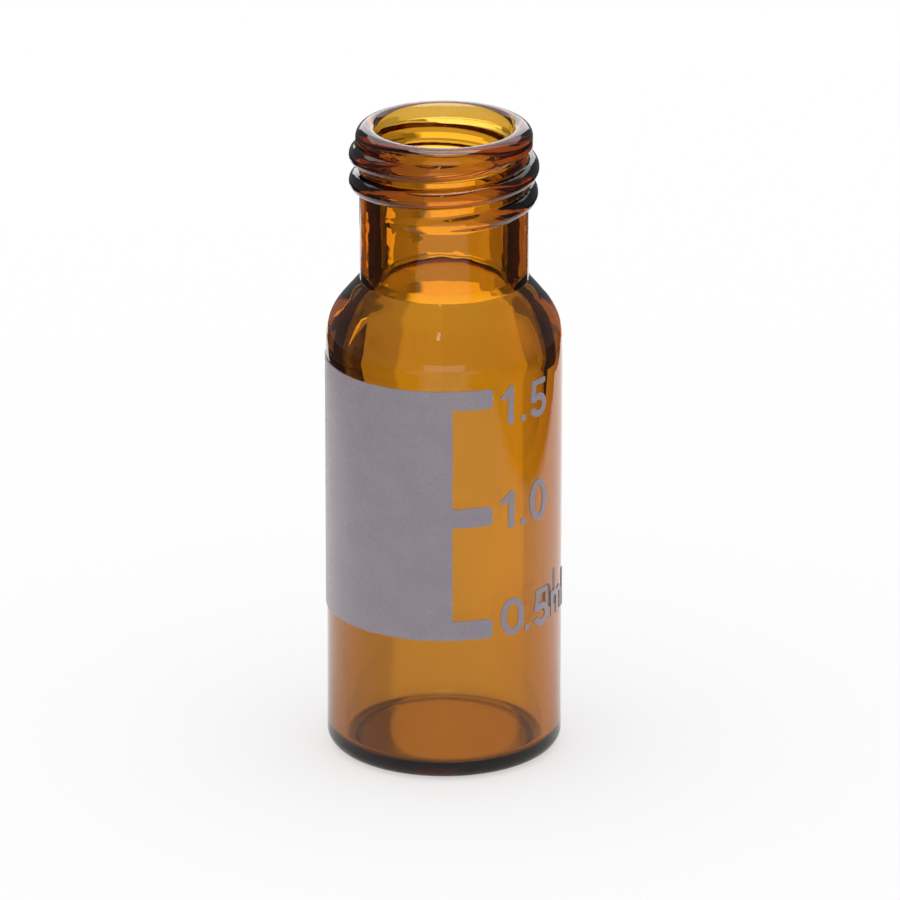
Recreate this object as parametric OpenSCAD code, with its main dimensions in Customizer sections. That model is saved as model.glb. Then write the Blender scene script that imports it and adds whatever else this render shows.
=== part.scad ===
// Screw-neck glass sample vial with a fired enamel writing patch.
// The origin is the centre of the resting ring, +Z points out of the mouth
// and -Y faces the edge of the patch that carries the volume marks.

/* [Body] */
// Height of the vial from the resting ring to the rim
vial_h = 32; // [31:0.1:35]
// Outside diameter of the body
body_d = 11.6; // [11:0.1:12.4]
// Thickness of the body wall
wall = 0.9; // [0.7:0.05:1.2]
// Radius of the rounded outer heel
heel_r = 0.75; // [0.5:0.05:1]

/* [Base] */
// Thickness of the glass at the centre of the base
floor_t = 0.5; // [0.4:0.05:1]
// Rise of the dished underside
punt_h = 0.15; // [0.05:0.05:0.4]
// Width of the flat ring that the vial rests on
ring_w = 0.6; // [0.4:0.05:1]
// Radius inside, where the wall meets the floor
floor_r = 0.4; // [0.2:0.05:1]

/* [Shoulder] */
// Height at which the outer shoulder begins to round inwards
shoulder_z = 21.15; // [20.5:0.05:21.5]
// Radius of the rounded part of the shoulder
shoulder_r = 3; // [2:0.1:4]
// Tilt of the shoulder where it meets the neck, in degrees from upright
shoulder_slope = 40; // [36:1:50]
// Radius of the hollow between the shoulder and the neck
shoulder_root_r = 0.12; // [0.05:0.01:0.4]
// Height at which the inside of the body begins to draw in
inner_shoulder_z = 20.2; // [19.4:0.1:21]
// Height about which the inside of the shoulder sways from the body to the bore
inner_sway_z = 23.15; // [22.8:0.05:23.5]

/* [Neck and rim] */
// Outside diameter of the neck between the threads
neck_d = 8.26; // [8:0.02:8.5]
// Diameter of the bore through the neck
bore_d = 6.2; // [5.8:0.05:6.4]
// Distance from the rim down to the bottom of the bore
bore_l = 7.2; // [6.8:0.1:7.6]
// Diameter of the flared mouth, just under the rim's inner edge
mouth_d = 6.6; // [6.45:0.05:6.8]
// Length of the flare between the bore and the mouth
flare_l = 1; // [0.6:0.1:2]
// Outside diameter of the rim
rim_d = 8.64; // [8.5:0.02:8.8]
// Height of the rim's straight outer band
rim_band_h = 0.4; // [0.2:0.05:0.6]
// Radius of the rim's outer edge
rim_outer_r = 0.58; // [0.4:0.02:0.6]
// Radius of the rim's inner edge
rim_inner_r = 0.4; // [0.2:0.02:0.42]

/* [Screw thread] */
// Distance between neighbouring turns
thread_pitch = 1.34; // [1.2:0.02:1.5]
// Diameter over the crest of the thread
thread_d = 9.28; // [9.1:0.02:9.5]
// Radius of the rounded thread section
thread_section_r = 0.54; // [0.45:0.01:0.6]
// Height of the full thread's upper end below the rim
thread_top = 1.33; // [1.2:0.02:1.6]
// Degrees of thread at its full height
thread_full = 525; // [360:15:540]
// Degrees over which the thread runs out under the rim
run_out_top = 210; // [120:15:240]
// Degrees over which the thread runs out above the shoulder
run_out_bottom = 225; // [120:15:240]
// Direction of the thread's full upper end, seen from above
thread_start = 210; // [0:15:360]

/* [Writing patch] */
// Thickness of the fired enamel
enamel_t = 0.05; // [0.03:0.01:0.1]
// Height of the lower edge of the patch
patch_z = 7.4; // [5:0.1:9]
// Height of the patch, measured over the outer volume marks
patch_h = 12.9; // [8:0.1:13]
// Degrees of the body that the patch covers
patch_sweep = 140; // [90:5:200]
// Direction of the patch's edge with the marks, seen from above
patch_edge = 274; // [0:2:360]
// Length of a volume mark beside the patch
mark_l = 2; // [1:0.1:3]
// Width of the stroke of a volume mark
mark_w = 0.98; // [0.5:0.02:1.2]
// Number of volume marks, spread evenly over the patch
marks = 3; // [2:1:5]

/* [Hidden] */
$fn = 96;

body_r = body_d / 2;
neck_r = neck_d / 2;
bore_r = bore_d / 2;
mouth_r = mouth_d / 2;
rim_r = rim_d / 2;
inner_r = body_r - wall;

// Heights of the levels that the profile passes through
bore_z = vial_h - bore_l;
floor_z = punt_h + floor_t;
mouth_z = vial_h - rim_inner_r;
rim_band_z = vial_h - rim_outer_r - rim_band_h;

// The resting ring starts where the rounded heel ends
ring_out_r = body_r - heel_r;
ring_in_r = ring_out_r - ring_w;
punt_r = (pow(ring_in_r, 2) + pow(punt_h, 2)) / (2 * punt_h);

// The rounded part of the shoulder runs on as a cone up to the neck
cone_r = body_r - shoulder_r * (1 - cos(shoulder_slope));
cone_z = shoulder_z + shoulder_r * sin(shoulder_slope);
neck_z = cone_z + (cone_r - neck_r) / tan(shoulder_slope);

arc_steps = 8;
sway_steps = 20;

// The thread sinks below the neck's surface at both ends, and its foot and back lie inside the wall
thread_crest_r = thread_d / 2;
thread_centre_r = thread_crest_r - thread_section_r;
thread_bury = 0.06;
thread_sink = thread_crest_r - neck_r + thread_bury;
thread_foot_r = neck_r - 2 * thread_bury;
thread_back_r = thread_foot_r - 0.1;
thread_step = 7.5;
thread_points = 8;

mark_sweep = mark_l / body_r * 180 / PI;
mark_gap = (patch_h - mark_w) / (marks - 1);
mark_overlap = 2;

// Points of an arc from angle a0 to a1, about a centre at [r, z]
function arc(r, z, radius, a0, a1) = [
  for (i = [0 : arc_steps])
    let (a = a0 + (a1 - a0) * i / arc_steps)
      [r + radius * cos(a), z + radius * sin(a)]
];

// Points of a soft S, upright at both ends, which turns from one radius to the other about a height
function sway(top, bottom, middle_z) = [
  for (i = [0 : sway_steps])
    let (t = i / sway_steps, u = 1 - t, near_top = u * u * (u + 3 * t), middle = 3 * t * u)
      [top[0] * near_top + bottom[0] * (1 - near_top),
       top[1] * pow(u, 3) + middle_z * middle + bottom[1] * pow(t, 3)]
];

// Underside of the base, from the axis out to the edge of the resting ring
function punt_profile() = [
  for (i = [0 : arc_steps])
    let (r = ring_in_r * i / arc_steps)
      [r, punt_h - punt_r + sqrt(pow(punt_r, 2) - pow(r, 2))]
];

// Outside of the vial, from the heel up to the rim
function outer_profile() = concat(
  arc(ring_out_r, heel_r, heel_r, -90, 0),
  arc(body_r - shoulder_r, shoulder_z, shoulder_r, 0, shoulder_slope),
  arc(neck_r + shoulder_root_r, neck_z + shoulder_root_r * tan(shoulder_slope / 2),
      shoulder_root_r, 180 + shoulder_slope, 180),
  [[neck_r, rim_band_z - (rim_r - neck_r)], [rim_r, rim_band_z]],
  arc(rim_r - rim_outer_r, vial_h - rim_outer_r, rim_outer_r, 0, 90)
);

// Inside of the vial, from the rim down to the centre of the floor
function inner_profile() = concat(
  arc(mouth_r + rim_inner_r, mouth_z, rim_inner_r, 90, 180),
  [[bore_r, mouth_z - flare_l]],
  sway([bore_r, bore_z], [inner_r, inner_shoulder_z], inner_sway_z),
  arc(inner_r - floor_r, floor_z + floor_r, floor_r, 0, -90),
  [[0, floor_z]]
);

// Share of the full thread height, for an angle measured down from the full upper end
function thread_height(a) =
  a < 0 ? (1 + cos(180 * -a / run_out_top)) / 2
  : a > thread_full ? (1 + cos(180 * (a - thread_full) / run_out_bottom)) / 2
  : 1;

// Rounded thread section about a centre, as [radius, offset] points from foot to foot and its back
function thread_section(centre_r) =
  let (reach = acos(max(0, (thread_foot_r - centre_r) / thread_section_r)))
  concat(
    [for (i = [0 : thread_points])
      let (a = reach * (2 * i / thread_points - 1))
        [centre_r + thread_section_r * cos(a), thread_section_r * sin(a)]],
    [[thread_back_r, thread_section_r * sin(reach)], [thread_back_r, -thread_section_r * sin(reach)]]
  );

// One ring of thread points at an angle measured down from the full upper end
function thread_ring(a) =
  let (
    centre_r = thread_centre_r - thread_sink * (1 - thread_height(a)),
    z = vial_h - thread_top - thread_pitch * a / 360,
    turn = thread_start - a
  )
  [for (p = thread_section(centre_r)) [p[0] * cos(turn), p[0] * sin(turn), z + p[1]]];

// Right-hand helical ridge that runs out smoothly at both ends
module thread() {
  count = round((run_out_top + thread_full + run_out_bottom) / thread_step);
  sides = thread_points + 3;
  rings = [for (i = [0 : count]) thread_ring(i * thread_step - run_out_top)];
  upper_end = [[for (j = [0 : sides - 1]) j]];
  lower_end = [[for (j = [sides - 1 : -1 : 0]) count * sides + j]];
  skin = [
    for (i = [0 : count - 1], j = [0 : sides - 1])
      let (k = (j + 1) % sides, a = i * sides, b = a + sides)
        each [[a + j, b + j, b + k], [a + j, b + k, a + k]]
  ];
  polyhedron(points = [for (ring = rings) each ring], faces = concat(upper_end, lower_end, skin));
}

module vial_body() {
  color([0.72, 0.43, 0.08, 0.6])
    union() {
      rotate_extrude()
        polygon(concat(punt_profile(), outer_profile(), inner_profile()));
      thread();
    }
}

// A band of enamel on the outside of the body
module enamel_band(start, sweep, low, height) {
  rotate_extrude(start = start, angle = sweep)
    translate([body_r, low])
      square([enamel_t, height]);
}

module writing_patch() {
  color([0.55, 0.53, 0.56])
    union() {
      enamel_band(patch_edge - patch_sweep, patch_sweep, patch_z, patch_h);
      for (i = [0 : marks - 1])
        enamel_band(patch_edge - mark_overlap, mark_sweep + mark_overlap,
                    patch_z + i * mark_gap, mark_w);
    }
}

vial_body();
writing_patch();
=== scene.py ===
import math

import bmesh
import bpy
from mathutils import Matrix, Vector, noise


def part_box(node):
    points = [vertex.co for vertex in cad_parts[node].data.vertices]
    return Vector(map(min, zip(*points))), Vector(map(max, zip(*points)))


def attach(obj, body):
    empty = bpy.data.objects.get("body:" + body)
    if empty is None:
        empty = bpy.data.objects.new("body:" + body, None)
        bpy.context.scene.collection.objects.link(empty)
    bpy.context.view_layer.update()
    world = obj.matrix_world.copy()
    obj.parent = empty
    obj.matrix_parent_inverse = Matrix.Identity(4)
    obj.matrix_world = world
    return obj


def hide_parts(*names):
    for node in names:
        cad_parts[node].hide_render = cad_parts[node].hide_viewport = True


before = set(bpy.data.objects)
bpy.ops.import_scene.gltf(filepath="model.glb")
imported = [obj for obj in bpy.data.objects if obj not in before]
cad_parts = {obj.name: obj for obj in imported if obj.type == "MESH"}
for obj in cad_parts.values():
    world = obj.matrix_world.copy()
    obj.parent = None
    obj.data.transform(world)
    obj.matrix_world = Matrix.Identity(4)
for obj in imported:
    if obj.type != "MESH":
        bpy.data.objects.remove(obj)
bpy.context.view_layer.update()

# Lengths are in millimetres and angles in degrees, up to the point where a mesh is made.
MM = 0.001
FRONT = 270.0
TURN = 360.0

# Sizes read from the frame
glass_low, glass_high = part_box("vial_body")
enamel_low, enamel_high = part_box("writing_patch")
VIAL_H = (glass_high.z - glass_low.z) / MM
BODY_R = glass_high.x / MM
PRINT_LOW = enamel_low.z / MM
PRINT_HIGH = enamel_high.z / MM
ENAMEL_R = -enamel_low.y / MM

# Heel and base
HEEL_R = 0.75
RING_W = 0.6
RING_FILLET = 0.12
PUNT_H = 0.15
FLOOR_T = 0.5
FLOOR_R = 0.4

# Wall and shoulder
WALL = 0.9
SHOULDER_Z = 21.15
SHOULDER_R = 3.0
SHOULDER_SLOPE = 40.0
SHOULDER_ROOT_R = 0.12
INNER_SHOULDER_Z = 20.2
INNER_SWAY_Z = 23.15
INNER_SWAY_TOP_Z = 25.0
INNER_SWAY_START = 0.2

# Neck and rim
NECK_R = 4.13
BORE_R = 3.1
BORE_EDGE_R = 0.3
MOUTH_R = 3.3
FLARE_L = 1.0
RIM_R = 4.32
RIM_BAND_H = 0.4
RIM_OUTER_R = 0.58
RIM_INNER_R = 0.4
RIM_UNDERSIDE_H = 0.24
RIM_EASE = (0.02, 0.03)
FLARE_TOP_SHARE = 0.1
FLARE_EASE = (0.02, 0.12)

# Thread: a rounded bead that winds down to the right
THREAD_PITCH = 1.34
THREAD_CREST_R = 4.64
THREAD_SECTION_R = 0.54
THREAD_TOP = VIAL_H - 1.33
THREAD_START = 210.0
THREAD_FULL = 525.0
THREAD_RUN_OUT_TOP = 210.0
THREAD_RUN_OUT_BOTTOM = 225.0
THREAD_ROOT_FILLET = 0.16
THREAD_FLANK_START = 0.46
THREAD_FLANK_SLOPE = 3.0
THREAD_BURY = 0.12
THREAD_SINK = THREAD_CREST_R - NECK_R + THREAD_BURY

# Height from which the neck has rings fine enough for the thread
THREADED_FROM = THREAD_TOP - 3.5

# Fineness of the turned glass: points in each ring, and the distance between rings
SEGMENTS = 216
THREAD_ROW = 0.036
PLAIN_ROW = 0.8
SHOULDER_ROW = 0.1
NECK_ROW = 0.12

# Waviness of drawn glass: how far it swings, the size of its waves, and where it fades to the axis
BORE_WAVINESS = 0.008
BORE_WAVE_SIZE = 0.8
SKIN_WAVINESS = 0.006
SKIN_WAVE_SIZE = 2.2
CALM_R = 2.0
NOISE_MIDDLE = 0.5
NOISE_SWING = 2.0

# Gaps under these, in metres, count as none
TINY = 1e-8
SEAM = 1e-7

# Enamel print: the patch, its volume marks and their numerals
PATCH_START = 144.5
PATCH_END = 274.0
MARK_END = 293.9
MARK_W = 0.98
MARK_OVERLAP = 1.0
MARK_HEIGHTS = (PRINT_HIGH - MARK_W / 2, 13.75, PRINT_LOW + MARK_W / 2)
CORNER_R = 0.22
PRINT_SINK = 0.005
NUMERAL_OUT = 0.035
STROKE_W = 0.34
STROKE_CORNER = 0.07
LIGHT_STROKE_W = STROKE_W * 0.8
KNEE_STROKE_W = STROKE_W * 0.85
LETTER_STROKE_W = STROKE_W * 0.84
POINT_CORNER = 0.1
PRINT_SLICE = 0.15
PRINT_SHARP_EDGE = 35.0

# Rough edge of the print; the seed keeps it the same in every run
EDGE_RAGGEDNESS = 0.022
EDGE_GRAIN = 0.55
EDGE_SEED = 7


class Value:
    """A number in a node tree, so that sums on it are written as plain Python."""

    def __init__(self, tree, socket):
        self.tree = tree
        self.socket = socket

    def maths(self, operation, *others):
        return self.tree.maths(operation, self, *others)

    def __add__(self, other):
        return self.maths("ADD", other)

    def __sub__(self, other):
        return self.maths("SUBTRACT", other)

    def __mul__(self, other):
        return self.maths("MULTIPLY", other)

    def __truediv__(self, other):
        return self.maths("DIVIDE", other)

    def __neg__(self):
        return self.maths("MULTIPLY", -1.0)

    def __rsub__(self, other):
        return self.tree.maths("SUBTRACT", other, self)

    def __rtruediv__(self, other):
        return self.tree.maths("DIVIDE", other, self)

    __radd__ = __add__
    __rmul__ = __mul__

    def between(self, low, high, out_low=0.0, out_high=1.0):
        """Eases from out_low to out_high as the value goes from low to high."""
        settings = {"interpolation_type": "SMOOTHSTEP"}
        inputs = {0: self, 1: low, 2: high, 3: out_low, 4: out_high}
        return self.tree.value("ShaderNodeMapRange", settings, inputs)


class Tree:
    """Builds nodes in a shader tree or a geometry tree."""

    def __init__(self, node_tree):
        self.made = node_tree

    def node(self, kind, settings=None, inputs=None):
        node = self.made.nodes.new(kind)
        for name, setting in (settings or {}).items():
            setattr(node, name, setting)
        for name, given in (inputs or {}).items():
            self.feed(node.inputs[name], given)
        return node

    def feed(self, socket, given):
        if isinstance(given, Value):
            given = given.socket
        if isinstance(given, bpy.types.NodeSocket):
            self.made.links.new(given, socket)
        else:
            socket.default_value = given

    def out(self, kind, settings=None, inputs=None, output=0):
        return self.node(kind, settings, inputs).outputs[output]

    def value(self, kind, settings=None, inputs=None, output=0):
        return Value(self, self.out(kind, settings, inputs, output))

    def maths(self, operation, *numbers):
        return self.value("ShaderNodeMath", {"operation": operation}, dict(enumerate(numbers)))

    def attribute(self, name):
        """The number that each point carries under a name."""
        inputs = {"Name": name}
        return self.value("GeometryNodeInputNamedAttribute", {"data_type": "FLOAT"}, inputs)

    def axes(self, vector):
        split = self.node("ShaderNodeSeparateXYZ", inputs={0: vector})
        return [Value(self, socket) for socket in split.outputs]

    def vector(self, x, y, z):
        return self.out("ShaderNodeCombineXYZ", inputs={0: x, 1: y, 2: z})

    def scaled(self, vector, scale):
        return self.out("ShaderNodeVectorMath", {"operation": "SCALE"}, {0: vector, "Scale": scale})

    def blend(self, factor, first, second):
        inputs = {0: factor, 6: first, 7: second}
        return self.out("ShaderNodeMix", {"data_type": "RGBA"}, inputs, output=2)

    def noise(self, vector, scale, detail=2.0, roughness=0.5):
        inputs = {"Vector": vector, "Scale": scale, "Detail": detail, "Roughness": roughness}
        return self.value("ShaderNodeTexNoise", inputs=inputs)


def placed(name, mesh):
    piece = bpy.data.objects.new(name, mesh)
    bpy.context.scene.collection.objects.link(piece)
    return piece


def outline_object(name, outlines, attribute):
    """Chains of points as loose edges; each point carries one number under the attribute's name."""
    mesh = bpy.data.meshes.new(name)
    points = [point for points, _ in outlines for point in points]
    edges = []
    first = 0
    for chain, closed in outlines:
        count = len(chain)
        edges += [(first + i, first + i + 1) for i in range(count - 1)]
        if closed:
            edges.append((first + count - 1, first))
        first += count
    mesh.from_pydata([(x * MM, y * MM, z * MM) for x, y, z, _ in points], edges, [])
    numbers = mesh.attributes.new(attribute, "FLOAT", "POINT")
    numbers.data.foreach_set("value", [number for _, _, _, number in points])
    return placed(name, mesh)


def geometry_group(name, sockets):
    """A geometry tree with named inputs; returns the group, its builder and its inputs."""
    group = bpy.data.node_groups.new(name, "GeometryNodeTree")
    group.interface.new_socket("Geometry", in_out="INPUT", socket_type="NodeSocketGeometry")
    group.interface.new_socket("Geometry", in_out="OUTPUT", socket_type="NodeSocketGeometry")
    for label, kind in sockets:
        group.interface.new_socket(label, in_out="INPUT", socket_type="NodeSocket" + kind)
    tree = Tree(group)
    entry = tree.node("NodeGroupInput")
    given = {socket.name: Value(tree, socket) for socket in entry.outputs if socket.name}
    return group, tree, given


def close_group(tree, geometry, material):
    """Ends a geometry tree with real geometry and its material."""
    real = tree.out("GeometryNodeRealizeInstances", inputs={0: geometry})
    painted = tree.out("GeometryNodeSetMaterial", inputs={"Geometry": real, "Material": material})
    tree.node("NodeGroupOutput", inputs={0: painted})


def grown(name, source, group, settings):
    """Runs a geometry tree on a source object and keeps the result as a plain mesh."""
    modifier = source.modifiers.new("grow", "NODES")
    modifier.node_group = group
    for item in group.interface.items_tree:
        if item.in_out == "INPUT" and item.name in settings:
            modifier[item.identifier] = settings[item.name]
    shaped = source.evaluated_get(bpy.context.evaluated_depsgraph_get())
    mesh = bpy.data.meshes.new_from_object(shaped)
    source.modifiers.remove(modifier)
    bpy.data.objects.remove(source)
    mesh.name = name
    return mesh


# Profile of the glass ------------------------------------------------------------------------

# What a stretch of the profile is marked as
PLAIN = 0.0
THREADED = 1.0
WAVY = -1.0


def bend(r, z, half_w, half_h, start, end, steps, power=2.0):
    """Points of part of a superellipse about a centre, from one angle to another."""
    points = []
    for i in range(steps + 1):
        angle = math.radians(start + (end - start) * i / steps)
        across = math.copysign(abs(math.cos(angle)) ** (2 / power), math.cos(angle))
        up = math.copysign(abs(math.sin(angle)) ** (2 / power), math.sin(angle))
        points.append((r + half_w * across, z + half_h * up))
    return points


def arc(r, z, radius, start, end, steps):
    return bend(r, z, radius, radius, start, end, steps)


def points_between(start, end, shares):
    """Points on the straight line between two ends, each at a share of its length."""
    across, up = end[0] - start[0], end[1] - start[1]
    return [(start[0] + across * t, start[1] + up * t) for t in shares]


def even(start, end, row):
    """Points between two ends, both left out, no further apart than a row."""
    count = max(1, math.ceil(math.dist(start, end) / row))
    return points_between(start, end, [i / count for i in range(1, count)])


def crowded(start, end, row):
    """The same, with short rows beside the curves at the ends and rows of full length between."""
    count = max(1, math.ceil(math.dist(start, end) / row * math.pi / 2))
    shares = [(1 - math.cos(math.pi * i / count)) / 2 for i in range(1, count)]
    return points_between(start, end, shares)


def joined(stretches, row, rows=even):
    """One chain through several stretches of points, with rows between them."""
    chain = list(stretches[0])
    for stretch in stretches[1:]:
        chain += rows(chain[-1], stretch[0], row)
        chain += stretch
    return chain


def swayed(top, bottom, middle_z, start, steps):
    """Points of a soft S from an upright stretch down to a wider one, less a share at its start."""
    points = []
    for i in range(steps + 1):
        t = start + (1 - start) * i / steps
        weights = ((1 - t) ** 3, 3 * t * (1 - t) ** 2, 3 * t ** 2 * (1 - t), t ** 3)
        r = top[0] * (weights[0] + weights[1]) + bottom[0] * (weights[2] + weights[3])
        z = top[1] * weights[0] + middle_z * (weights[1] + weights[2]) + bottom[1] * weights[3]
        points.append((r, z))
    return points


def bore_edge(below):
    """Small round edge between the upright bore and the chain of points below it."""
    (r, z), (next_r, next_z) = below[:2]
    turn = math.atan2(next_r - r, z - next_z)
    corner_z = z + (r - BORE_R) / math.tan(turn)
    centre_z = corner_z + BORE_EDGE_R * math.tan(turn / 2)
    end = 180.0 + math.degrees(turn)
    return arc(BORE_R + BORE_EDGE_R, centre_z, BORE_EDGE_R, 180.0, end, steps=7)


def shoulder_curve():
    """Outer shoulder: an arc that runs on as a cone, and a small hollow up to the neck."""
    slope = math.radians(SHOULDER_SLOPE)
    cone_r = BODY_R - SHOULDER_R * (1 - math.cos(slope))
    cone_z = SHOULDER_Z + SHOULDER_R * math.sin(slope)
    neck_z = cone_z + (cone_r - NECK_R) / math.tan(slope)
    root_z = neck_z + SHOULDER_ROOT_R * math.tan(slope / 2)
    return joined([
        arc(BODY_R - SHOULDER_R, SHOULDER_Z, SHOULDER_R, 0.0, SHOULDER_SLOPE, steps=24),
        arc(NECK_R + SHOULDER_ROOT_R, root_z, SHOULDER_ROOT_R, 180.0 + SHOULDER_SLOPE, 180.0,
            steps=6),
    ], SHOULDER_ROW)


def vial_profile():
    """Chain from the axis under the base, up the outside, over the rim and down to the axis."""
    ring_out = BODY_R - HEEL_R
    ring_in = ring_out - RING_W
    punt_rise = PUNT_H - RING_FILLET
    punt_reach = ring_in - RING_FILLET
    punt_r = (punt_reach ** 2 + punt_rise ** 2) / (2 * punt_rise)
    punt_sweep = math.degrees(math.asin(punt_reach / punt_r))
    inner_r = BODY_R - WALL
    floor_z = PUNT_H + FLOOR_T
    mouth_z = VIAL_H - RIM_INNER_R
    band_z = VIAL_H - RIM_OUTER_R - RIM_BAND_H

    body = joined([
        arc(0.0, PUNT_H - punt_r, punt_r, 90.0, 90.0 - punt_sweep, steps=12),
        arc(ring_in, RING_FILLET, RING_FILLET, 180.0, 270.0, steps=5),
        arc(ring_out, HEEL_R, HEEL_R, -90.0, 0.0, steps=16),
        shoulder_curve(),
    ], PLAIN_ROW, crowded)
    neck = even(body[-1], (NECK_R, THREADED_FROM), NECK_ROW)
    ease_r, ease_z = RIM_EASE
    threaded = joined([
        [(NECK_R, THREADED_FROM)],
        [(NECK_R, band_z - RIM_UNDERSIDE_H), (RIM_R - ease_r, band_z - ease_z), (RIM_R, band_z)],
        [(RIM_R, VIAL_H - RIM_OUTER_R - ease_r)],
    ], THREAD_ROW)
    rim = joined([
        arc(RIM_R - RIM_OUTER_R, VIAL_H - RIM_OUTER_R, RIM_OUTER_R, 0.0, 90.0, steps=14),
        arc(MOUTH_R + RIM_INNER_R, mouth_z, RIM_INNER_R, 90.0, 175.0, steps=9),
    ], PLAIN_ROW)
    sway = swayed((BORE_R, INNER_SWAY_TOP_Z), (inner_r, INNER_SHOULDER_Z), INNER_SWAY_Z,
                  INNER_SWAY_START, steps=40)
    edge = bore_edge(sway)
    flare_r = BORE_R + (MOUTH_R - BORE_R) * (1 - FLARE_TOP_SHARE)
    ease_r, ease_z = FLARE_EASE
    bore = joined([
        [(flare_r, mouth_z - FLARE_L * FLARE_TOP_SHARE)],
        [(BORE_R + ease_r, mouth_z - FLARE_L + ease_z), (BORE_R, mouth_z - FLARE_L - ease_z)],
        edge[:1],
    ], NECK_ROW)
    chamber = joined([
        edge[1:] + sway,
        arc(inner_r - FLOOR_R, floor_z + FLOOR_R, FLOOR_R, 0.0, -90.0, steps=14),
        [(0.0, floor_z)],
    ], PLAIN_ROW, crowded)
    zones = [
        (body + neck, PLAIN),
        (threaded, THREADED),
        (rim, PLAIN),
        (bore, WAVY),
        (chamber, PLAIN),
    ]
    return [(r, 0.0, z, zone) for chain, zone in zones for r, z in chain]


# Turned glass ----------------------------------------------------------------------------------

GLASS_SOCKETS = [
    ("Segments", "Int"),
    ("Pitch", "Float"),
    ("Crest Radius", "Float"),
    ("Section Radius", "Float"),
    ("Top Height", "Float"),
    ("Start Angle", "Float"),
    ("Full Angle", "Float"),
    ("Upper Run-out", "Float"),
    ("Lower Run-out", "Float"),
    ("Sink", "Float"),
    ("Root Fillet", "Float"),
    ("Bore Waviness", "Float"),
    ("Bore Wave Size", "Float"),
    ("Skin Waviness", "Float"),
    ("Skin Wave Size", "Float"),
    ("Glass", "Material"),
]


def bead_radius(tree, given, angle, height):
    """Radius of the thread's surface at an angle round the neck, in degrees, and a height."""
    from_start = given["Start Angle"] - angle
    wound_down = (given["Top Height"] - height) / given["Pitch"] * TURN
    turn = ((wound_down - from_start) / TURN).maths("ROUND")
    along = from_start + turn * TURN
    off_crest = ((wound_down - along) * given["Pitch"] / TURN).maths("ABSOLUTE")
    before = (along / given["Upper Run-out"]).maths("MAXIMUM", -1.0).maths("MINIMUM", 0.0)
    after = ((along - given["Full Angle"]) / given["Lower Run-out"]).maths("MAXIMUM", 0.0)
    faded = before + after.maths("MINIMUM", 1.0)
    height_share = ((faded * math.pi).maths("COSINE") + 1.0) / 2.0
    section = given["Section Radius"]
    dome = (section * section - off_crest * off_crest).maths("MAXIMUM", 0.0).maths("SQRT")
    flank = (off_crest - THREAD_FLANK_START).maths("MAXIMUM", 0.0) * THREAD_FLANK_SLOPE
    centre = given["Crest Radius"] - section - given["Sink"] * (1.0 - height_share)
    return centre + dome - flank


def turned_glass_group():
    """Turns the profile round the Z axis, raises the thread and closes the poles and the seam."""
    group, tree, given = geometry_group("turned_glass", GLASS_SOCKETS)
    profile = given["Geometry"].socket
    rows = tree.value("GeometryNodeAttributeDomainSize", inputs={0: profile})
    columns = given["Segments"] + 1.0
    # Added before rounding down, so that a row's first point stays in its own row
    quarter_column = 0.25 / SEGMENTS
    grid = tree.out("GeometryNodeMeshGrid", inputs={"Vertices X": rows, "Vertices Y": columns})
    index = tree.value("GeometryNodeInputIndex")
    row = (index / columns + quarter_column).maths("FLOOR")
    column = index - row * columns
    place = tree.out("GeometryNodeInputPosition")
    on_profile = tree.out("GeometryNodeSampleIndex", {"data_type": "FLOAT_VECTOR"},
                          {0: profile, 1: place, 2: row})
    zone = tree.value("GeometryNodeSampleIndex", {"data_type": "FLOAT"},
                      {0: profile, 1: tree.attribute("zone"), 2: row})
    radius, _, height = [axis / MM for axis in tree.axes(on_profile)]
    angle = column * TURN / given["Segments"]
    turned = angle * (math.pi / 180.0)
    across, along = turned.maths("COSINE"), turned.maths("SINE")

    bead = bead_radius(tree, given, angle, height)
    ridged = radius.maths("SMOOTH_MAX", bead, given["Root Fillet"])
    ridge = (ridged - radius) * zone.maths("MAXIMUM", 0.0)
    spot = tree.vector(radius * across, radius * along, height)
    bore_noise = tree.noise(spot, 1.0 / given["Bore Wave Size"], detail=1.0) - NOISE_MIDDLE
    in_bore = (-zone).maths("MAXIMUM", 0.0)
    skin_noise = tree.noise(spot, 1.0 / given["Skin Wave Size"], detail=0.0) - NOISE_MIDDLE
    off_axis = radius.between(0.0, CALM_R)
    waves = bore_noise * in_bore * given["Bore Waviness"] * NOISE_SWING
    waves = waves + skin_noise * off_axis * given["Skin Waviness"] * NOISE_SWING
    final = (radius + ridge + waves) * MM
    turned_place = tree.vector(final * across, final * along, height * MM)
    shaped = tree.out("GeometryNodeSetPosition",
                      inputs={"Geometry": grid, "Position": turned_place})
    closed = tree.out("GeometryNodeMergeByDistance", inputs={"Geometry": shaped, "Distance": SEAM})
    smooth = tree.out("GeometryNodeSetShadeSmooth", inputs={"Geometry": closed})
    close_group(tree, smooth, given["Glass"])
    return group


def face_outwards(mesh):
    shell = bmesh.new()
    shell.from_mesh(mesh)
    bmesh.ops.dissolve_degenerate(shell, dist=TINY, edges=shell.edges)
    bmesh.ops.recalc_face_normals(shell, faces=shell.faces)
    shell.to_mesh(mesh)
    shell.free()


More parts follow.
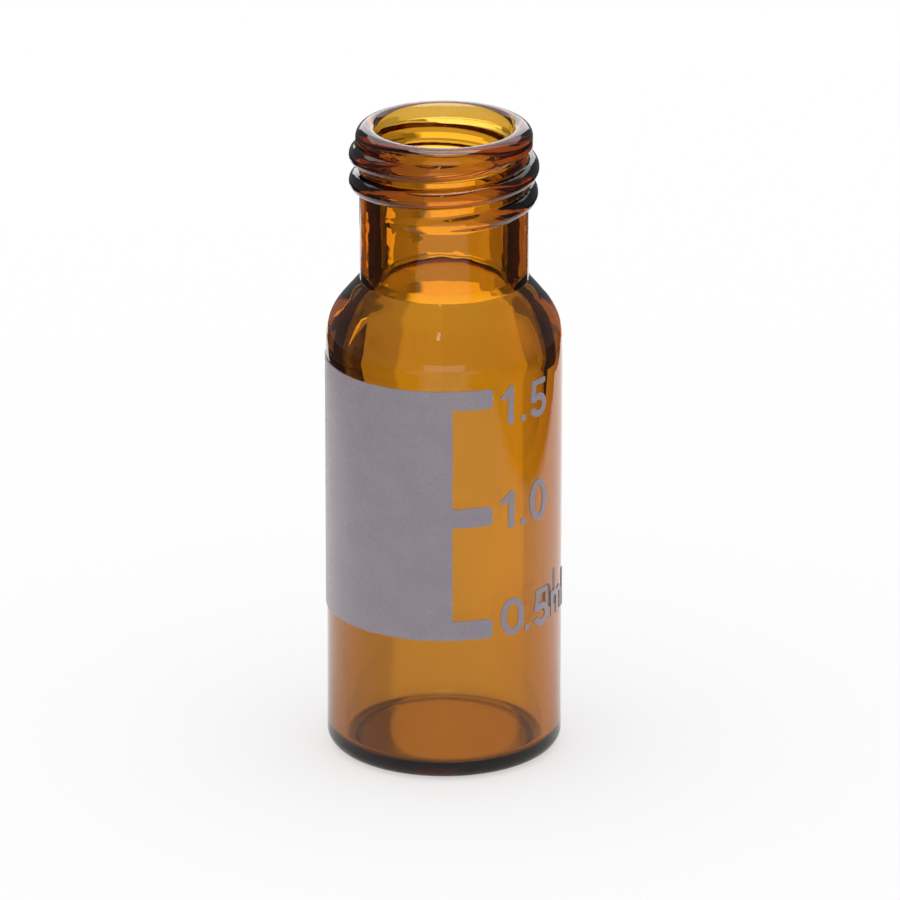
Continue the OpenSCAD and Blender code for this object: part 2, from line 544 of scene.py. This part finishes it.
def make_glass(material):
    profile = outline_object("vial_profile", [(vial_profile(), False)], "zone")
    mesh = grown("vial_glass", profile, turned_glass_group(), {
        "Segments": SEGMENTS,
        "Pitch": THREAD_PITCH,
        "Crest Radius": THREAD_CREST_R,
        "Section Radius": THREAD_SECTION_R,
        "Top Height": THREAD_TOP,
        "Start Angle": THREAD_START,
        "Full Angle": THREAD_FULL,
        "Upper Run-out": THREAD_RUN_OUT_TOP,
        "Lower Run-out": THREAD_RUN_OUT_BOTTOM,
        "Sink": THREAD_SINK,
        "Root Fillet": THREAD_ROOT_FILLET,
        "Bore Waviness": BORE_WAVINESS,
        "Bore Wave Size": BORE_WAVE_SIZE,
        "Skin Waviness": SKIN_WAVINESS,
        "Skin Wave Size": SKIN_WAVE_SIZE,
        "Glass": material,
    })
    face_outwards(mesh)
    piece = placed("vial_glass", mesh)
    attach(piece, "root")
    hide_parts("vial_body")
    return piece


# Enamel print -----------------------------------------------------------------------------------

def round_the_body(angle):
    """Distance round the body from the front, for an angle seen from above."""
    return math.radians(angle - FRONT) * BODY_R


def stroke(points, width, corner):
    """One printed stroke: an open chain whose ends are rounded off by narrowing its half width."""
    half = width / 2
    start, end = points[0], points[-1]
    ahead = (Vector(points[1]) - Vector(start)).normalized()
    back = (Vector(points[-2]) - Vector(end)).normalized()
    steps = 5
    cap = []
    for i in range(steps):
        angle = math.radians(90.0 * i / steps)
        cap.append((corner * (1 - math.cos(angle)), half - corner * (1 - math.sin(angle))))
    chain = [(*(Vector(start) + ahead * run), 0.0, w) for run, w in cap]
    inner = points[1:-1]
    first = Vector(start) + ahead * corner
    last = Vector(end) + back * corner
    chain += [(*first, 0.0, half)]
    chain += [(x, y, 0.0, half) for x, y in inner]
    chain += [(*last, 0.0, half)]
    chain += [(*(Vector(end) + back * run), 0.0, w) for run, w in reversed(cap)]
    return chain, False


def ring(x, y, half_w, half_h, width):
    """A closed oval stroke."""
    points = bend(x, y, half_w, half_h, 0.0, TURN, steps=40, power=2.2)[:-1]
    return [(px, py, 0.0, width / 2) for px, py in points], True


def zero(x, y, w, h):
    inset = STROKE_W / 2
    return [ring(x + w / 2, y + h / 2, w / 2 - inset, h / 2 - inset, STROKE_W)]


def one(x, y, w, h):
    stem = x + w - STROKE_W / 2
    flag_foot = (x + 0.1, y + h - 0.62)
    flag_tip = (stem + 0.02, y + h - 0.14)
    return [
        stroke([(stem, y), (stem, y + h)], STROKE_W, STROKE_CORNER),
        stroke([flag_foot, flag_tip], LIGHT_STROKE_W, STROKE_CORNER),
    ]


def five(x, y, w, h):
    inset = STROKE_W / 2
    bowl_share = 0.62
    bowl_r = (w - STROKE_W) / 2
    bowl_h = (h * bowl_share - STROKE_W) / 2
    bowl_y = y + inset + bowl_h
    bowl = bend(x + w / 2, bowl_y, bowl_r, bowl_h, start=142.0, end=-165.0, steps=26)
    top = y + h - LIGHT_STROKE_W / 2
    knee = (x + inset + 0.06, bowl_y + bowl_h / 2)
    shoulder = (x + inset + 0.16, top)
    tip = (x + w - 0.08, top)
    return [
        stroke(bowl, STROKE_W, STROKE_CORNER),
        stroke([knee, shoulder], KNEE_STROKE_W, STROKE_CORNER),
        stroke([(x + inset, top), tip], LIGHT_STROKE_W, STROKE_CORNER),
    ]


def point(x, y, w, h):
    return [stroke([(x, y + h / 2), (x + w, y + h / 2)], h, POINT_CORNER)]


def letter_m(x, y, w, h):
    inset = LETTER_STROKE_W / 2
    reach = (w - LETTER_STROKE_W) / 2
    strokes = [stroke([(x + inset, y), (x + inset, y + h)], LETTER_STROKE_W, STROKE_CORNER)]
    for i in range(2):
        left = x + inset + reach * i
        arch_r = reach / 2
        arch_y = y + h - inset - arch_r
        arch = arc(left + arch_r, arch_y, arch_r, start=160.0, end=0.0, steps=12)
        strokes.append(stroke(arch + [(left + reach, y)], LETTER_STROKE_W, STROKE_CORNER))
    return strokes


def letter_l(x, y, w, h):
    inset = STROKE_W / 2
    return [
        stroke([(x + inset, y), (x + inset, y + h)], STROKE_W, STROKE_CORNER),
        stroke([(x, y + inset), (x + w, y + inset)], STROKE_W, STROKE_CORNER),
    ]


# Each glyph of the scale: its shape, then left edge, foot, width and height
SCALE = {
    "scale_1_5": [
        (one, 2.79, 18.30, 0.80, 1.97),
        (point, 4.02, 18.31, 0.32, 0.32),
        (five, 4.60, 18.26, 1.30, 1.93),
    ],
    "scale_1_0": [
        (one, 2.80, 12.90, 0.84, 1.97),
        (point, 4.03, 12.93, 0.34, 0.34),
        (zero, 4.63, 12.87, 1.32, 2.14),
    ],
    "scale_0_5_mL": [
        (zero, 2.87, 7.32, 1.38, 1.93),
        (point, 4.32, 7.34, 0.34, 0.34),
        (five, 4.93, 7.26, 1.26, 1.97),
        (letter_m, 6.48, 7.40, 1.60, 1.31),
        (letter_l, 8.36, 7.32, 0.98, 1.95),
    ],
}

PRINT_SOCKETS = [("Thickness", "Float"), ("Enamel", "Material")]


def print_group():
    """Lays flat strokes along chains and unites those that cross into one sheet of enamel."""
    group, tree, given = geometry_group("printed_strokes", PRINT_SOCKETS)
    paths = tree.out("GeometryNodeMeshToCurve", inputs={0: given["Geometry"]})
    level = tree.out("GeometryNodeSetCurveNormal", {"mode": "Z_UP"}, {0: paths})
    half = tree.attribute("half_width")
    widened = tree.out("GeometryNodeSetCurveRadius", inputs={"Curve": level, "Radius": half * MM})
    section = tree.out("GeometryNodeCurvePrimitiveQuadrilateral",
                       inputs={"Width": 2.0, "Height": 2.0})
    inputs = {"Curve": widened, "Profile Curve": section, "Scale": half * MM, "Fill Caps": True}
    solid = tree.out("GeometryNodeCurveToMesh", inputs=inputs)
    x, y, z = tree.axes(tree.out("GeometryNodeInputPosition"))
    level_z = z.maths("SIGN") * given["Thickness"] * (0.5 * MM)
    flat = tree.out("GeometryNodeSetPosition",
                    inputs={"Geometry": solid, "Position": tree.vector(x, y, level_z)})
    island = tree.out("GeometryNodeInputMeshIsland")
    strokes = tree.out("GeometryNodeSplitToInstances", {"domain": "POINT"},
                       {"Geometry": flat, "Group ID": island})
    union = tree.out("GeometryNodeMeshBoolean", {"operation": "UNION", "solver": "MANIFOLD"},
                     {"Mesh": strokes})
    close_group(tree, union, given["Enamel"])
    return group


def sliced(mesh, spacing):
    """Cuts a flat mesh along a grid, so that it can follow the round body."""
    sheet = bmesh.new()
    sheet.from_mesh(mesh)
    lows = [min(v.co[i] for v in sheet.verts) / MM for i in range(2)]
    highs = [max(v.co[i] for v in sheet.verts) / MM for i in range(2)]
    for axis in range(2):
        across = Vector((1.0, 0.0, 0.0)) if axis == 0 else Vector((0.0, 1.0, 0.0))
        for i in range(math.ceil(lows[axis] / spacing), math.ceil(highs[axis] / spacing)):
            everything = sheet.verts[:] + sheet.edges[:] + sheet.faces[:]
            bmesh.ops.bisect_plane(sheet, geom=everything, plane_co=across * i * spacing * MM,
                                   plane_no=across, dist=TINY)
    sheet.to_mesh(mesh)
    sheet.free()


def ragged(x, y):
    """Small sideways shift that roughens the edge of the print."""
    spot = Vector((x / EDGE_GRAIN, y / EDGE_GRAIN, 0.0))
    shift = noise.noise_vector(spot) * EDGE_RAGGEDNESS
    return shift.x, shift.y


def wrapped(mesh, outer_r):
    """Wraps a flat sheet of print round the body, from just inside the glass to outer_r."""
    for vertex in mesh.vertices:
        x, y, depth = vertex.co / MM
        shift_x, shift_y = ragged(x, y)
        angle = math.radians(FRONT) + (x + shift_x) / BODY_R
        r = outer_r if depth > 0 else BODY_R - PRINT_SINK
        vertex.co = Vector((r * math.cos(angle), r * math.sin(angle), y + shift_y)) * MM
    face_outwards(mesh)
    mesh.shade_smooth()
    mesh.set_sharp_from_angle(angle=math.radians(PRINT_SHARP_EDGE))


def printed(name, strokes, outer_r, group, material):
    chains = outline_object(name + "_strokes", strokes, "half_width")
    mesh = grown(name, chains, group, {"Thickness": 1.0, "Enamel": material})
    sliced(mesh, PRINT_SLICE)
    wrapped(mesh, outer_r)
    piece = placed(name, mesh)
    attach(piece, "root")
    return piece


def make_print(material):
    noise.seed_set(EDGE_SEED)
    group = print_group()
    middle = (PRINT_LOW + PRINT_HIGH) / 2
    left, right, tip = [round_the_body(angle) for angle in (PATCH_START, PATCH_END, MARK_END)]
    patch = [stroke([(left, middle), (right, middle)], PRINT_HIGH - PRINT_LOW, CORNER_R)]
    for height in MARK_HEIGHTS:
        patch.append(stroke([(right - MARK_OVERLAP, height), (tip, height)], MARK_W, CORNER_R))
    piece = printed("patch_enamel", patch, ENAMEL_R, group, material)
    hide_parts("writing_patch")
    for name, glyphs in SCALE.items():
        strokes = []
        for shape, x, y, w, h in glyphs:
            strokes += shape(x, y, w, h)
        printed(name, strokes, BODY_R + NUMERAL_OUT, group, material)


# Finishes ----------------------------------------------------------------------------------------

WHITE = (1.0, 1.0, 1.0, 1.0)


def new_material(name):
    material = bpy.data.materials.new(name)
    material.use_nodes = True
    material.node_tree.nodes.clear()
    return material, Tree(material.node_tree)


def object_millimetres(tree):
    return tree.scaled(tree.out("ShaderNodeTexCoord", output="Object"), 1.0 / MM)


AMBER_IOR = 1.52
AMBER_DENSITY = 2600.0
AMBER_TINT = (0.88, 0.688, 0.0, 1.0)

# Drawn tube has faint lines along it; their depth is in millimetres
DRAW_LINES_PER_MM = 2.2
DRAW_STRETCH = 0.08
DRAW_DEPTH = 0.004
DRAW_STRENGTH = 0.25
HAZE_PER_MM = 0.6
HAZE_START = (0.5, 0.8)
HAZE_ROUGHNESS = 0.02


def amber_glass():
    """Clear surface over an amber body: the colour deepens with the thickness of the glass."""
    material, tree = new_material("amber_glass")
    place = object_millimetres(tree)
    x, y, z = tree.axes(place)
    drawn = tree.vector(x, y, z * DRAW_STRETCH)
    draw_lines = tree.noise(drawn, DRAW_LINES_PER_MM, detail=2.0)
    bump = tree.out("ShaderNodeBump", inputs={
        "Strength": DRAW_STRENGTH,
        "Distance": DRAW_DEPTH * MM,
        "Height": draw_lines,
    })
    haze = tree.noise(place, HAZE_PER_MM, detail=3.0).between(*HAZE_START, 0.0, HAZE_ROUGHNESS)
    surface = tree.out("ShaderNodeBsdfPrincipled", inputs={
        "Base Color": WHITE,
        "Roughness": haze,
        "IOR": AMBER_IOR,
        "Transmission Weight": 1.0,
        "Normal": bump,
    })
    body = tree.out("ShaderNodeVolumeAbsorption", inputs={
        "Color": AMBER_TINT,
        "Density": AMBER_DENSITY,
    })
    tree.node("ShaderNodeOutputMaterial", inputs={"Surface": surface, "Volume": body})
    return material


# Enamel tones: its white is painted down to grey as painted shade; the spread between them is its
# own mottle
ENAMEL_LIGHT = (0.272, 0.236, 0.264, 1.0)
ENAMEL_DARK = (0.242, 0.209, 0.236, 1.0)
ENAMEL_FLECK = (0.3, 0.272, 0.296, 1.0)
ENAMEL_IOR = 1.45
ENAMEL_ROUGHNESS = (0.26, 0.4)

# Sizes of the enamel's mottling, as waves in a millimetre, and their shares in its shade
GRAIN_PER_MM = 7.0
CLOUDS_PER_MM = 0.7
FLECKS_PER_MM = 4.2
STREAKS_PER_MM = (0.25, 0.25, 5.0)
GRAIN_SHARE = 0.45
CLOUD_SHARE = 0.35
STREAK_SHARE = 0.12
SHADE_SPAN = (0.34, 0.62)
FLECK_SPAN = (0.82, 0.87)
GRAIN_SPAN = (0.3, 0.7)
ENAMEL_RELIEF = 0.012
ENAMEL_RELIEF_STRENGTH = 0.5
STREAK_RELIEF_SHARE = 0.4


def grey_enamel():
    """Fired white enamel, painted grey as shade: matt, finely mottled, squeegee streaks, a few pale
    flecks.
    """
    material, tree = new_material("grey_enamel")
    place = object_millimetres(tree)
    x, y, z = tree.axes(place)
    grain = tree.noise(place, GRAIN_PER_MM, detail=3.0, roughness=0.6)
    cloud = tree.noise(place, CLOUDS_PER_MM, detail=2.0)
    wipe = [axis * scale for axis, scale in zip((x, y, z), STREAKS_PER_MM)]
    streaks = tree.noise(tree.vector(*wipe), 1.0, detail=2.0)
    mottle = grain * GRAIN_SHARE + cloud * CLOUD_SHARE + streaks * STREAK_SHARE
    base = tree.blend(mottle.between(*SHADE_SPAN), ENAMEL_DARK, ENAMEL_LIGHT)
    flecks = tree.noise(place, FLECKS_PER_MM, detail=0.0).between(*FLECK_SPAN)
    colour = tree.blend(flecks, base, ENAMEL_FLECK)
    bump = tree.out("ShaderNodeBump", inputs={
        "Strength": ENAMEL_RELIEF_STRENGTH,
        "Distance": ENAMEL_RELIEF * MM,
        "Height": grain + streaks * STREAK_RELIEF_SHARE,
    })
    surface = tree.out("ShaderNodeBsdfPrincipled", inputs={
        "Base Color": colour,
        "Roughness": grain.between(*GRAIN_SPAN, *ENAMEL_ROUGHNESS),
        "IOR": ENAMEL_IOR,
        "Normal": bump,
    })
    tree.node("ShaderNodeOutputMaterial", inputs={"Surface": surface})
    return material


# Studio ------------------------------------------------------------------------------------------

# White sheet that the vial stands on: its outline, the glow of its own and its matt paint
SHEET = [(-47.5, -95.0), (47.5, -95.0), (47.5, 30.0), (44.0, 31.0), (44.0, 39.0), (31.0, 52.0),
         (31.0, 79.0), (24.0, 79.0), (30.0, 112.0), (13.0, 112.0), (10.0, 79.0), (-38.0, 79.0),
         (-38.0, 68.0), (-31.0, 68.0), (-31.0, 52.0), (-47.5, 36.0)]
SHEET_GAP = 0.02
SHEET_GLOW = 0.5
SHEET_PAINT = 0.5

# Painted light and shade that the glass shows of the sheet, set for the view of the camera below:
# a lit middle lane, duller sides of painted shade and a painted bright strip. A lane's edge is
# given by its place beside the vial and its drift to the right with each millimetre back
LANE_LEFT = (-2.8, -0.06)
LANE_RIGHT = (4.2, 0.19)
LANE_EDGE = 0.5
LANE_NEAR = (0.93, 1.0)
LANE_NEAR_TURN = (0.5, 3.5)
LANE_NEAR_END = (15.0, 30.0)
LANE_RISE = 0.18
LANE_RISE_START = (14.0, 26.0)
LANE_RISE_ACROSS = (-9.0, -1.0)
LEFT_LEVEL = 0.69
RIGHT_LEVEL = (0.9, 0.66)
RIGHT_FALL = (50.0, 76.0)
STRIP_EDGE = (-22.5, -24.0)
STRIP_START = (69.0, 70.0)
STRIP_LEVEL = 2.1

# Painted amber pool of light on the sheet under the vial, where light would come down through the
# amber glass, with painted shade beside it
UNDER_SIZE = (6.0, 5.1)
UNDER_TURN = (-2.0, 2.0)
UNDER_LEVEL = (0.26, 0.4)
UNDER_TINT = (1.0, 0.66, 0.35, 1.0)
POOL_MIDDLE = (0.48, 1.2)
POOL_SIZE = (3.22, 5.4)
POOL_LEVEL = 0.67
OVAL_EDGE = (1.05, 0.95)

# What the glass mirrors of the sheet, with painted shade: duller in front, and dark past its right
# edge and at each side of the front
MIRRORED_FRONT = 0.55
MIRRORED_BACK = 1.2
MIRRORED_TURN = 12.0
MIRRORED_END = (42.0, 47.0)
MIRRORED_SLANT = (0.6, 0.8)
MIRRORED_SIDE = (59.2, 62.2)
MIRRORED_SIDE_START = (-62.0, -58.0)


def seen_in_glass(tree):
    """Whether a ray shows what the glass mirrors, and whether it shows what lies beyond the glass.

    A ray that gathers light for matt paint does neither.
    """
    paths = tree.node("ShaderNodeLightPath")
    matt_bounces = Value(tree, paths.outputs["Diffuse Depth"])
    is_sight = matt_bounces.maths("LESS_THAN", 0.5)
    is_through = Value(tree, paths.outputs["Is Transmission Ray"])
    is_glossy = Value(tree, paths.outputs["Is Glossy Ray"])
    return is_glossy * (1.0 - is_through) * is_sight, is_through * is_sight


def painted_sheet_through_glass(x, y):
    """Painted level of the sheet as the glass shows it beyond the vial, from the place in
    millimetres.
    """
    from_left = x - y * LANE_LEFT[1] - LANE_LEFT[0]
    from_right = x - y * LANE_RIGHT[1] - LANE_RIGHT[0]
    left = from_left.between(LANE_EDGE, -LANE_EDGE)
    right = from_right.between(-LANE_EDGE, LANE_EDGE)
    rise = from_right.between(*LANE_RISE_ACROSS) * y.between(*LANE_RISE_START) * LANE_RISE
    near = x.between(*LANE_NEAR_TURN, *LANE_NEAR)
    middle = y.between(*LANE_NEAR_END, near, 1.0) + rise
    level = middle + left * (LEFT_LEVEL - middle)
    level = level + right * (y.between(*RIGHT_FALL, *RIGHT_LEVEL) - level)
    strip = x.between(*STRIP_EDGE) * y.between(*STRIP_START)
    return strip * (STRIP_LEVEL - level) + level


def across_oval(x, y, middle, half_sizes):
    """Distance from the middle of an oval, where its edge counts as 1."""
    across = (x - middle[0]) / half_sizes[0]
    along = (y - middle[1]) / half_sizes[1]
    return (across * across + along * along).maths("SQRT")


def painted_light_under_vial(x, y):
    """How far a place lies under the vial, from 0 to 1, and its painted level: a pool of light in
    shade.
    """
    pool = across_oval(x, y, POOL_MIDDLE, POOL_SIZE).between(*OVAL_EDGE)
    shaded = x.between(*UNDER_TURN, *UNDER_LEVEL)
    under = across_oval(x, y, (0.0, 0.0), UNDER_SIZE).between(*OVAL_EDGE)
    return under, pool * (POOL_LEVEL - shaded) + shaded


def sheet_material():
    """White sheet: part of its white is its own, so that the vial's shadow on it stays faint."""
    # Seen in the glass, the sheet carries painted light and shade and painted reflections
    material, tree = new_material("white_sheet")
    is_mirrored, is_through = seen_in_glass(tree)
    x, y, _ = tree.axes(object_millimetres(tree))
    beyond = painted_sheet_through_glass(x, y)
    under, beneath = painted_light_under_vial(x, y)
    through = under * (beneath - beyond) + beyond
    mirrored = y.between(-MIRRORED_TURN, MIRRORED_TURN, MIRRORED_FRONT, MIRRORED_BACK)
    slanted = x.maths("ABSOLUTE") * MIRRORED_SLANT[0] - y * MIRRORED_SLANT[1]
    side = slanted.between(*MIRRORED_SIDE) * y.between(*MIRRORED_SIDE_START)
    mirrored = mirrored * x.between(*reversed(MIRRORED_END)) * (1.0 - side)
    level = is_through * (through - 1.0) + is_mirrored * (mirrored - 1.0) + 1.0
    tint = tree.blend(under * is_through, WHITE, UNDER_TINT)
    painted = tree.scaled(tint, level * SHEET_PAINT)
    paint = tree.out("ShaderNodeBsdfDiffuse", inputs={"Color": painted})
    glow = tree.out("ShaderNodeEmission", inputs={"Color": tint, "Strength": level * SHEET_GLOW})
    both = tree.out("ShaderNodeAddShader", inputs={0: paint, 1: glow})
    tree.node("ShaderNodeOutputMaterial", inputs={"Surface": both})
    return material


def make_floor():
    sheet = bmesh.new()
    corners = [sheet.verts.new((x * MM, y * MM, -SHEET_GAP * MM)) for x, y in SHEET]
    sheet.faces.new(corners)
    mesh = bpy.data.meshes.new("floor")
    sheet.to_mesh(mesh)
    sheet.free()
    mesh.materials.append(sheet_material())
    placed("floor", mesh)


# Painted panels round the vial, seen only in reflections and through glass and set for the view of
# the camera below: first those that show through the glass and then painted reflections. Each has
# the azimuth of its middle from +Y towards +X, its half width, its lowest and highest elevation,
# and its level
SEEN_THROUGH_DARK = 0.04
SEEN_THROUGH = [
    (-25.0, 6.0, -8.5, 2.0, 0.3),
    (-16.2, 2.2, -90.0, -14.5, 0.6),
    (-16.2, 2.2, -14.5, -5.0, 0.17),
    (-10.2, 3.8, -90.0, -11.5, 0.62),
    (-10.2, 3.8, -11.5, -5.0, 0.22),
    (-10.9, 6.1, -5.0, 4.0, 0.57),
    (-10.9, 6.1, 4.0, 90.0, 0.35),
    (-4.9, 1.5, -90.0, -5.0, 0.45),
    (2.6, 6.0, -90.0, -5.0, 2.05),
    (2.6, 7.4, -5.0, 4.0, 0.85),
    (2.6, 7.4, 4.0, 32.0, 1.5),
    (2.6, 7.4, 32.0, 90.0, 0.85),
    (10.3, 1.7, -90.0, -8.0, 1.2),
    (10.3, 1.7, -8.0, -5.0, 2.6),
    (19.5, 7.5, -90.0, -11.5, 0.72),
    (21.0, 9.0, -11.5, -8.0, 0.3),
    (21.0, 9.0, -8.0, -5.0, 0.6),
    (18.5, 8.5, -5.0, 4.0, 0.6),
    (18.5, 8.5, 4.0, 90.0, 0.33),
    (-26.0, 4.0, 8.0, 18.0, 0.8),
    (29.0, 5.0, 8.0, 15.0, 0.5),
    (135.0, 28.0, -30.0, 2.0, 0.8),
    (-90.0, 28.0, -12.0, 6.0, 0.85),
]
MIRRORED = [
    (0.0, 180.0, -12.0, 66.0, 0.18),
    (0.0, 21.0, 3.0, 28.0, 2.4),
    (0.0, 60.0, 28.0, 66.0, 1.5),
    (180.0, 20.0, -14.0, -1.0, 1.2),
    # Painted glint on the front of the shoulder
    (-172.0, 2.2, 46.0, 60.0, 4.0),
    (0.0, 180.0, 66.0, 90.0, 5.0),
]
MIRRORED_DARK = 0.05
PANEL_EDGE_ACROSS = 0.8
PANEL_EDGE_UP = 0.6


def panels(tree, azimuth, elevation, places, dark):
    """Painted level of a direction in degrees; where panels overlap, their light adds up."""
    level = dark
    for middle, half, low, high, light in places:
        off = (azimuth - middle).maths("WRAP", 180.0, -180.0).maths("ABSOLUTE")
        across = off.between(half + PANEL_EDGE_ACROSS, half - PANEL_EDGE_ACROSS)
        rising = elevation.between(low - PANEL_EDGE_UP, low + PANEL_EDGE_UP)
        falling = elevation.between(high + PANEL_EDGE_UP, high - PANEL_EDGE_UP)
        level = across * rising * falling * (light - dark) + level
    return level


def make_world():
    """Even white light; mirrored and refracted rays see painted paler and duller panels, dark
    between.
    """
    world = bpy.data.worlds.new("studio")
    bpy.context.scene.world = world
    world.use_nodes = True
    world.node_tree.nodes.clear()
    tree = Tree(world.node_tree)
    x, y, z = tree.axes(tree.out("ShaderNodeTexCoord", output="Generated"))
    degrees = 180.0 / math.pi
    azimuth = x.maths("ARCTAN2", y) * degrees
    elevation = z.maths("ARCSINE") * degrees
    through = panels(tree, azimuth, elevation, SEEN_THROUGH, SEEN_THROUGH_DARK)
    mirrored = panels(tree, azimuth, elevation, MIRRORED, MIRRORED_DARK)
    is_mirrored, is_through = seen_in_glass(tree)
    level = is_mirrored * (mirrored - 1.0) + is_through * (through - 1.0) + 1.0
    light = tree.out("ShaderNodeBackground", inputs={"Color": WHITE, "Strength": level})
    tree.node("ShaderNodeOutputWorld", inputs={"Surface": light})


CAMERA_TARGET = (0.0, 0.0, 16.0)
CAMERA_DISTANCE = 429.7
CAMERA_ELEVATION = 19.986
CAMERA_LENS = 349.8
CAMERA_SHIFT = (0.00644, -0.0170)
CAMERA_CLIP = (0.01, 10.0)


def make_camera():
    elevation = math.radians(CAMERA_ELEVATION)
    back = Vector((0.0, -math.cos(elevation), math.sin(elevation)))
    data = bpy.data.cameras.new("camera")
    data.lens = CAMERA_LENS
    data.shift_x, data.shift_y = CAMERA_SHIFT
    data.clip_start, data.clip_end = CAMERA_CLIP
    camera = placed("camera", data)
    camera.location = (Vector(CAMERA_TARGET) + back * CAMERA_DISTANCE) * MM
    camera.rotation_mode = "QUATERNION"
    camera.rotation_quaternion = (-back).to_track_quat("-Z", "Y")
    bpy.context.scene.camera = camera


make_camera()
make_world()
make_floor()
make_glass(amber_glass())
make_print(grey_enamel())
bpy.context.scene.view_settings.view_transform = "Standard"
